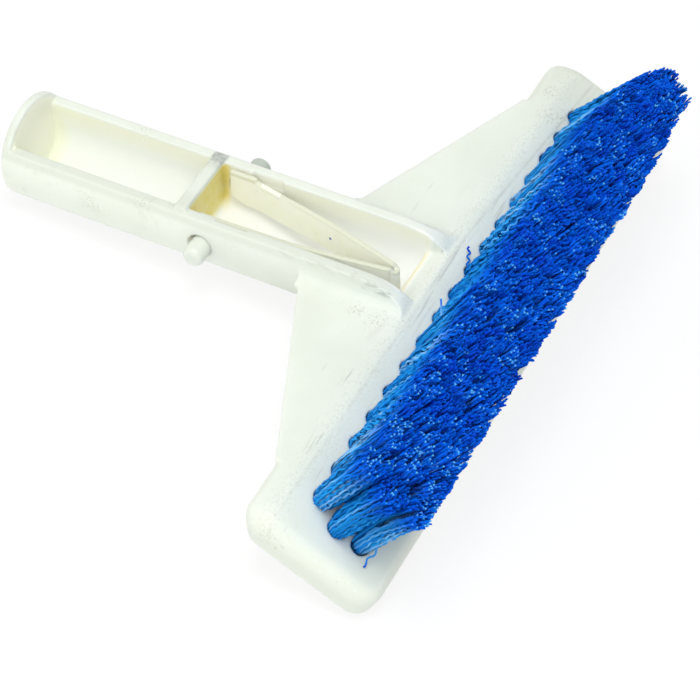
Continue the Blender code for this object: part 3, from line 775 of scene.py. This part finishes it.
def tube_arrays(points):
    """A tube of few sides round a filament's points: its vertices and faces."""
    tangent = np.gradient(points, axis=0)
    tangent /= np.linalg.norm(tangent, axis=1)[:, None]
    first = np.cross(tangent, [0.0, 0.3, 1.0])
    first /= np.linalg.norm(first, axis=1)[:, None]
    second = np.cross(tangent, first)
    n = FILAMENT_SIDES
    rings = []
    for k in range(n):
        angle = 2.0 * math.pi * k / n
        rings.append(points + FILAMENT_RADIUS * (first * math.cos(angle) + second * math.sin(angle)))
    verts = np.stack(rings, axis=1).reshape(-1, 3)
    faces = []
    for i in range(len(points) - 1):
        for k in range(n):
            j = (k + 1) % n
            faces.append((n * i + k, n * i + j, n * i + n + j, n * i + n + k))
    last = n * (len(points) - 1)
    faces.append(tuple(range(n - 1, -1, -1)))
    faces.append(tuple(range(last, last + n)))
    return verts, faces


def end_splay(row, column):
    """What sets a tuft near either end of its row apart.

    Given are its lean out of line along x and w, how much shorter it is, how far
    its middle is tucked in and how much paler it is painted, which is painted light.
    """
    last = ROW_COUNTS[row] - 1
    near = max(0.0, 1.0 - (last - column) / 2.0)
    far = max(0.0, 1.0 - column / 3.0)
    tuck = -near * NEAR_TUCK[row]
    splay_x = near * NEAR_SPLAY_X[row] + far * FAR_SPLAY_X[row]
    splay_w = near * NEAR_SPLAY_W[row] + far * FAR_SPLAY_W[row]
    drop = near * NEAR_DROP + far * FAR_DROP[row]
    return splay_x, splay_w, drop, tuck, NEAR_PAINTED_LIGHT if near > 0.0 else 0.0


def make_locks(rng):
    """The locks that a tuft's filaments gather in, with what each lock shares."""
    locks = []
    turn = rng.uniform(0.0, math.pi)
    for k in range(LOCKS):
        radius = 0.0 if k == LOCKS - 1 else rng.uniform(0.55, 0.8)
        angle = turn + 2.0 * math.pi * k / (LOCKS - 1) + rng.normal(0.0, 0.15)
        locks.append({
            "spot": radius * np.array([math.cos(angle), math.sin(angle)]),
            "side": rng.normal(size=3),
            "wave": rng.uniform(3.6, 6.0),
            "phase": rng.uniform(),
            "swing": rng.uniform(0.1, 0.42),
            "shade": rng.uniform(-0.45, 0.45),
            "drop": rng.uniform(-0.2, 1.1),
        })
    return locks


def on_face(x, w, n):
    """A place over the bar's tilted face, n above it."""
    return np.array(CREASE + ACROSS * x + FORWARD * w + OUTWARD * n)


def stray(start, end, waves, swing):
    """A loose filament that winds a little to both sides, as points."""
    t = np.linspace(0.0, 1.0, FILAMENT_POINTS)[:, None]
    start, end = on_face(*start), on_face(*end)
    across = np.cross(end - start, np.array(OUTWARD))
    across /= np.linalg.norm(across)
    return start + (end - start) * t + across * swing * np.sin(2.0 * math.pi * waves * t)


def tip_place(rng, x, w):
    """Keeps a tip inside the outline that the brush shows at its far end and front."""
    x = max(x, EDGE_X[0] + rng.uniform(0.0, 0.8))
    low = np.interp(x, EDGE_X, EDGE_LOW) + rng.uniform(0.0, 0.9)
    high = np.interp(x, EDGE_X, EDGE_HIGH) - rng.uniform(0.0, 0.5)
    return x, min(max(w, low), high, TIP_LIMIT_W)


def tuft_filaments(rng, row, column, mouth_x):
    """One tuft's filaments: for each its points, the way it faces and its shade."""
    across, forward = np.array(ACROSS), np.array(FORWARD)
    splay_x, splay_w, drop, tuck, paler = end_splay(row, column)
    lean_x = LEAN_X + splay_x + rng.normal(0.0, 0.4)
    lean_w = LEAN_W + splay_w + rng.normal(0.0, 0.4)
    # Near-end tufts get painted light: a higher shade, so paler blue
    tuft_shade = rng.uniform(-0.12, 0.12) + paler
    locks = make_locks(rng)
    filaments = []
    for i in range(FILAMENTS):
        r = math.sqrt((i + 0.5) / FILAMENTS)
        angle = i * GOLDEN_ANGLE + column
        spot = r * np.array([math.cos(angle), math.sin(angle)])
        lock = min(locks, key=lambda item: float(np.linalg.norm(item["spot"] - spot)))
        gap = lock["spot"] - spot
        gathered = spot + gap * GATHER
        wild = rng.normal(0.0, 1.1 if rng.uniform() < 0.04 else 0.25, size=2)
        x = mouth_x + gathered[0] * TIP_SPREAD_X + lean_x + wild[0]
        w = ROW_OFFSETS[row] + gathered[1] * TIP_SPREAD_W + lean_w + wild[1]
        x, w = tip_place(rng, x, w)
        short = min(rng.exponential(0.75), 3.0) + lock["drop"]
        tip = on_face(x, w, BRISTLE_LENGTH - TIP_BACK - drop - short)
        root_x = mouth_x + spot[0] * ROOT_RADIUS + tuck * 0.35
        root = on_face(root_x, ROW_OFFSETS[row] + spot[1] * ROOT_RADIUS, -ROOT_DEPTH)
        flare_w = FLARE_W_OUTER if row == 0 and spot[1] < 0.0 else FLARE_W
        spread = across * spot[0] * FLARE_X + forward * spot[1] * flare_w
        pull = across * (gap[0] * 0.9 + tuck) + forward * gap[1] * 0.9
        points = filament_points(rng, root, tip, spread, pull, lock)
        shade = tuft_shade + lock["shade"] + rng.uniform(-0.5, 0.5)
        filaments.append((points, across * spot[0] + forward * spot[1], shade))
    return filaments


def bristle_row(name, row):
    """Every tuft of one row as crimped filaments in one mesh, with the row's strays."""
    rng = np.random.default_rng(40 + row)
    filaments = []
    for tuft_row, column, mouth in tuft_mouths():
        if tuft_row == row:
            filaments += tuft_filaments(rng, row, column, mouth.x)
    outward = np.array(OUTWARD)
    for start, end, waves, swing, shade in STRAYS.get(row, ()):
        filaments.append((stray(start, end, waves, swing), outward, shade))
    t = np.linspace(0.0, 1.0, FILAMENT_POINTS)[:, None]
    verts, faces, normals = [], [], []
    for k, (points, aim, _) in enumerate(filaments):
        tube, quads = tube_arrays(points)
        faces += [tuple(k * len(tube) + v for v in quad) for quad in quads]
        verts.append(tube)
        # The fine strands share much of their tuft's shading, as soft fibres do
        round_off = (tube - np.repeat(points, FILAMENT_SIDES, axis=0)) / FILAMENT_RADIUS
        tuft = aim * (1.0 - 0.5 * t) + outward * (0.25 + 0.55 * t)
        tuft /= np.linalg.norm(tuft, axis=1)[:, None] + 0.05
        normals.append(round_off * 0.5 + np.repeat(tuft, FILAMENT_SIDES, axis=0))
    mesh = bpy.data.meshes.new(name)
    mesh.from_pydata(np.concatenate(verts).tolist(), [], faces)
    shades = [shade for _, _, shade in filaments]
    store(mesh, {
        "shade": np.repeat(shades, FILAMENT_POINTS * FILAMENT_SIDES),
        "reach": np.tile(np.repeat(t[:, 0], FILAMENT_SIDES), len(filaments)),
    })
    obj = new_object(name, mesh)
    place(obj)
    turned_normals = np.concatenate(normals) @ np.array(TOOL.to_3x3()).T
    turned_normals /= np.linalg.norm(turned_normals, axis=1)[:, None]
    obj.data.normals_split_custom_set_from_vertices(turned_normals.tolist())
    return obj


# Materials


class Nodes:
    """Small helper to lay out one material's nodes."""

    def __init__(self, name):
        self.material = bpy.data.materials.new(name)
        self.material.use_nodes = True
        self.tree = self.material.node_tree
        self.shader = self.tree.nodes["Principled BSDF"]

    def add(self, kind, settings=None, inputs=None):
        node = self.tree.nodes.new(kind)
        for key, value in (settings or {}).items():
            setattr(node, key, value)
        for key, value in (inputs or {}).items():
            if hasattr(value, "is_output"):
                self.tree.links.new(value, node.inputs[key])
            else:
                node.inputs[key].default_value = value
        return node

    def link(self, source, target):
        self.tree.links.new(source, target)

    def noise(self, scale, detail=4.0):
        position = self.add("ShaderNodeTexCoord").outputs["Object"]
        inputs = {"Vector": position, "Scale": scale, "Detail": detail, "Roughness": 0.55}
        return self.add("ShaderNodeTexNoise", inputs=inputs).outputs["Fac"]

    def attribute(self, label):
        return self.add("ShaderNodeAttribute", {"attribute_name": label}).outputs["Fac"]

    def stretched(self, scales, scale, detail=3.0):
        """Noise drawn out along some axes, for scratches and flow lines."""
        position = self.add("ShaderNodeTexCoord").outputs["Object"]
        mapping = self.add("ShaderNodeMapping", inputs={"Vector": position, "Scale": scales})
        inputs = {"Vector": mapping.outputs["Vector"], "Scale": scale, "Detail": detail}
        return self.add("ShaderNodeTexNoise", inputs=inputs).outputs["Fac"]

    def math(self, operation, a, b):
        return self.add("ShaderNodeMath", {"operation": operation}, {0: a, 1: b}).outputs["Value"]

    def times(self, a, b):
        return self.math("MULTIPLY", a, b)

    def span(self, value, low, high, to_low=0.0, to_high=1.0):
        """A value from low to high spread over to_low to to_high, and held beyond."""
        inputs = {"Value": value, "From Min": low, "From Max": high, "To Min": to_low, "To Max": to_high}
        return self.add("ShaderNodeMapRange", inputs=inputs).outputs["Result"]

    def mix(self, factor, a, b):
        """Colour a turned into colour b by the factor."""
        node = self.add("ShaderNodeMix", {"data_type": "RGBA"})
        for socket, value in ((node.inputs[0], factor), (node.inputs[6], a), (node.inputs[7], b)):
            if hasattr(value, "is_output"):
                self.link(value, socket)
            else:
                socket.default_value = value
        return node.outputs[2]

    def colour_and_roughness(self, colour, roughness):
        self.link(colour, self.shader.inputs["Base Color"])
        self.link(roughness, self.shader.inputs["Roughness"])

    def translucent(self, weight, radius, scale):
        """Lets light pass a little way into the plastic."""
        self.shader.inputs["Subsurface Weight"].default_value = weight
        self.shader.inputs["Subsurface Radius"].default_value = radius
        self.shader.inputs["Subsurface Scale"].default_value = scale

    def relief(self, height, strength):
        inputs = {"Height": height, "Strength": strength, "Distance": 0.0002}
        self.link(self.add("ShaderNodeBump", inputs=inputs).outputs["Normal"], self.shader.inputs["Normal"])


def moulding_material():
    """White plastic, creamy in the trough, with stains, dust, wear and scratches; painted light lightens
    the trough's inside and the button bores, painted shade darkens the near rims' tops, the bar's ends and
    concave corners, and sharp convex edges get a painted highlight.
    """
    m = Nodes("moulding_look")
    hollow = m.attribute("hollow")
    mottle = m.span(m.noise(42.0, 5.0), 0.35, 0.68)
    base = m.mix(mottle, (0.745, 0.79, 0.70, 1.0), (0.80, 0.84, 0.755, 1.0))
    # Painted light: the trough's inside lighter than the outside
    base = m.mix(hollow, base, (0.885, 0.905, 0.86, 1.0))
    # Painted light: the front compartment lighter still
    base = m.mix(m.attribute("front"), base, (0.965, 0.98, 0.945, 1.0))
    # Painted shade on the near rims' tops and the bar's ends
    base = m.mix(m.attribute("painted_shade"), base, (0.70, 0.745, 0.655, 1.0))
    # Painted light: the button bores lighter, against their shade
    base = m.mix(m.attribute("bore"), base, (0.985, 0.97, 0.86, 1.0))
    base = m.mix(m.times(m.attribute("cream"), 0.7), base, (0.89, 0.895, 0.70, 1.0))
    patchy = m.span(m.noise(230.0, 4.0), 0.3, 0.62, 0.75, 1.0)
    base = m.mix(m.times(m.attribute("ochre"), patchy), base, (0.79, 0.68, 0.18, 1.0))
    flecks = m.span(m.noise(1500.0, 3.0), 0.5, 0.66)
    stain = m.times(m.attribute("grime"), flecks)
    base = m.mix(m.times(stain, 0.95), base, (0.36, 0.33, 0.23, 1.0))
    dust = m.times(m.attribute("dusty"), m.span(m.noise(900.0), 0.35, 0.6, 0.45, 1.0))
    base = m.mix(m.times(dust, 0.85), base, (0.33, 0.35, 0.32, 1.0))
    worn = m.times(m.attribute("ridge"), m.span(m.stretched((1.0, 0.22, 1.0), 1300.0, 6.0), 0.44, 0.60))
    base = m.mix(m.times(worn, 0.65), base, (0.36, 0.38, 0.33, 1.0))
    seam = m.times(m.attribute("seam"), m.span(m.noise(160.0, 6.0), 0.35, 0.65, 0.1, 0.5))
    base = m.mix(seam, base, (0.45, 0.45, 0.38, 1.0))
    specks = m.times(m.span(m.noise(1500.0, 3.0), 0.70, 0.76), m.span(m.noise(90.0), 0.5, 0.65))
    outside = m.math("SUBTRACT", 1.0, hollow)
    base = m.mix(m.times(m.times(specks, outside), 0.22), base, (0.38, 0.35, 0.26, 1.0))
    scuffs = m.span(m.stretched((0.25, 1.0, 1.0), 420.0, 8.0), 0.56, 0.70)
    scuffs = m.times(scuffs, m.span(m.noise(38.0, 3.0), 0.50, 0.68))
    base = m.mix(m.times(m.times(scuffs, outside), 0.18), base, (0.52, 0.50, 0.38, 1.0))
    scratches = m.span(m.stretched((0.06, 1.0, 1.0), 900.0), 0.60, 0.68)
    local = m.times(m.span(m.noise(55.0, 2.0), 0.52, 0.64), m.attribute("flat"))
    scratches = m.times(scratches, m.math("MAXIMUM", local, m.attribute("scraped")))
    base = m.mix(m.times(scratches, 0.55), base, (0.42, 0.42, 0.38, 1.0))
    point = m.add("ShaderNodeNewGeometry").outputs["Pointiness"]
    # Painted highlight on sharp convex edges
    base = m.mix(m.span(point, 0.535, 0.60, 0.0, 0.15), base, (0.88, 0.91, 0.85, 1.0))
    # Painted shade in concave corners
    base = m.mix(m.span(point, 0.40, 0.475, 0.22, 0.0), base, (0.78, 0.75, 0.55, 1.0))
    rough = m.math("ADD", m.span(m.noise(260.0, 6.0), 0.3, 0.7, 0.36, 0.52), m.times(scratches, 0.2))
    m.colour_and_roughness(base, m.math("ADD", rough, m.times(stain, 0.2)))
    m.translucent(0.45, (1.0, 0.98, 0.85), 0.004)
    m.relief(m.math("ADD", m.noise(520.0, 5.0), m.times(scratches, -0.6)), 0.10)
    return m.material


def clip_material():
    """Natural nylon, slightly yellow, with greyer buttons and a blue fleck; painted shade darkens the top
    edge and, further still, the far button.
    """
    m = Nodes("clip_look")
    base = m.mix(m.span(m.noise(70.0), 0.35, 0.65), (0.955, 0.97, 0.80, 1.0), (0.98, 0.985, 0.87, 1.0))
    clouds = m.span(m.noise(260.0, 5.0), 0.55, 0.75, 0.0, 0.3)
    base = m.mix(clouds, base, (0.82, 0.81, 0.58, 1.0))
    flow = m.span(m.stretched((1.0, 0.1, 1.0), 700.0), 0.58, 0.7, 0.0, 0.3)
    base = m.mix(flow, base, (0.96, 0.965, 0.90, 1.0))
    # Painted shade along the top edge
    base = m.mix(m.attribute("crest"), base, (0.72, 0.74, 0.58, 1.0))
    base = m.mix(m.times(m.attribute("block"), 0.7), base, (0.86, 0.88, 0.75, 1.0))
    end = m.attribute("end")
    base = m.mix(m.span(end, 0.3, 1.0), base, (0.73, 0.775, 0.69, 1.0))
    # The far button is greyer like the near one, and darker still as painted shade
    base = m.mix(m.span(end, -0.3, -1.0), base, (0.50, 0.555, 0.49, 1.0))
    base = m.mix(m.span(m.attribute("fleck"), 0.3, 0.6), base, (0.02, 0.09, 0.38, 1.0))
    m.colour_and_roughness(base, m.span(m.noise(300.0), 0.3, 0.7, 0.28, 0.42))
    m.translucent(0.3, (1.0, 0.95, 0.7), 0.003)
    m.relief(m.noise(800.0, 4.0), 0.12)
    return m.material


def bristle_material():
    """Blue nylon filaments, painted paler along their sides with painted highlights on some strands and cut
    tips, and painted shade darker towards root and tip.
    """
    m = Nodes("bristle_look")
    shade = m.attribute("shade")
    reach = m.attribute("reach")
    # Each strand's tone follows its shade; the sides are painted lighter than the tips, the palest strands
    # get a painted highlight, and the tips painted shade
    side = m.mix(m.span(shade, -0.8, 0.7), (0.0, 0.15, 0.62, 1.0), (0.022, 0.39, 0.91, 1.0))
    side = m.mix(m.span(shade, 0.35, 0.8, 0.0, 0.8), side, (0.25, 0.55, 0.94, 1.0))
    tips = m.mix(m.span(shade, -0.8, 0.7), (0.0, 0.05, 0.58, 1.0), (0.0, 0.15, 0.82, 1.0))
    base = m.mix(m.span(reach, 0.55, 0.96), side, tips)
    # Painted shade near the roots
    base = m.mix(m.span(reach, 0.04, 0.2, 0.25, 0.0), base, (0.0, 0.05, 0.36, 1.0))
    # Painted highlights on some cut tips
    cut = m.times(m.span(reach, 0.985, 0.999), m.span(shade, 0.45, 0.75, 0.0, 0.85))
    base = m.mix(cut, base, (0.12, 0.50, 0.92, 1.0))
    m.colour_and_roughness(base, m.span(m.noise(900.0), 0.3, 0.7, 0.35, 0.5))
    m.shader.inputs["Specular IOR Level"].default_value = 0.04
    return m.material


def floor_material():
    """A pale floor that looks near white to the camera and keeps a faint shadow."""
    m = Nodes("floor_look")
    base = m.mix(m.noise(3.0), (0.955, 0.955, 0.955, 1.0), (0.975, 0.975, 0.975, 1.0))
    m.link(base, m.shader.inputs["Base Color"])
    m.shader.inputs["Roughness"].default_value = 0.9
    path = m.add("ShaderNodeLightPath").outputs
    seen = m.math("MAXIMUM", path["Is Camera Ray"], path["Is Glossy Ray"])
    seen = m.math("MAXIMUM", seen, path["Is Transmission Ray"])
    white = m.add("ShaderNodeEmission", inputs={"Color": (1.0, 1.0, 1.0, 1.0), "Strength": 1.0})
    blend = m.add("ShaderNodeMixShader", inputs={0: m.times(seen, 0.8)})
    m.link(m.shader.outputs["BSDF"], blend.inputs[1])
    m.link(white.outputs["Emission"], blend.inputs[2])
    m.link(blend.outputs["Shader"], m.tree.nodes["Material Output"].inputs["Surface"])
    return m.material


# Pieces

skin = moulding()
skin.data.materials.append(moulding_material())
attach(skin, "brush")
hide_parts("head_and_handle")

clip_look = clip_material()
for piece, body, node in (
    (clip_leg("clip_leg_left_skin", -1.0), "left_leg", "clip_leg_left"),
    (clip_leg("clip_leg_right_skin", 1.0), "right_leg", "clip_leg_right"),
    (clip_bend(), "brush", "clip_bend"),
):
    piece.data.materials.append(clip_look)
    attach(piece, body)
    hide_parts(node)

bristle_look = bristle_material()
for row, label in enumerate(("rear", "middle", "front")):
    tufts = bristle_row("bristles_" + label, row)
    tufts.data.materials.append(bristle_look)
    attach(tufts, "brush")
    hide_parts(*[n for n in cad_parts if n.startswith("tuft_" + label)])

# Floor, light and camera

floor = new_object("floor", bpy.data.meshes.new("floor"))
floor_half = 3.0
floor_gap = 0.0002
corners = [(x * floor_half, y * floor_half, 0.0) for x, y in ((-1, -1), (1, -1), (1, 1), (-1, 1))]
floor.data.from_pydata(corners, [], [(0, 1, 2, 3)])
floor.data.materials.append(floor_material())
floor.location.z = -floor_gap

world = bpy.data.worlds.new("studio")
bpy.context.scene.world = world
world.use_nodes = True
background = world.node_tree.nodes["Background"]
background.inputs["Color"].default_value = (1.0, 1.0, 1.0, 1.0)
background.inputs["Strength"].default_value = 0.60


def lamp(name, spot, size, energy):
    """A square white lamp that points at the origin."""
    data = bpy.data.lights.new(name, "AREA")
    data.size = size
    data.energy = energy
    obj = new_object(name, data)
    obj.location = spot
    obj.rotation_euler = (-Vector(spot)).to_track_quat("-Z", "Y").to_euler()


lamp("key", (0.16, 0.1, 1.15), 0.5, 6.1)
lamp("fill", (0.95, 0.1, 0.75), 0.9, 3.9)

eye = CAMERA_RIGHT * CAMERA_SHIFT[0] + CAMERA_UP * CAMERA_SHIFT[1] + CAMERA_TOWARD * CAMERA_DISTANCE
turn = Matrix((CAMERA_RIGHT, CAMERA_UP, CAMERA_TOWARD)).transposed().to_4x4()
camera_data = bpy.data.cameras.new("camera")
camera_data.lens = FOCAL_PIXELS * SENSOR_WIDTH / PHOTO_WIDTH_PIXELS
camera_data.sensor_width = SENSOR_WIDTH
camera_data.clip_start = 0.01
camera = new_object("camera", camera_data)
camera.matrix_world = TOOL @ Matrix.Translation(eye * 0.001) @ turn
bpy.context.scene.camera = camera
bpy.context.scene.view_settings.view_transform = "Standard"
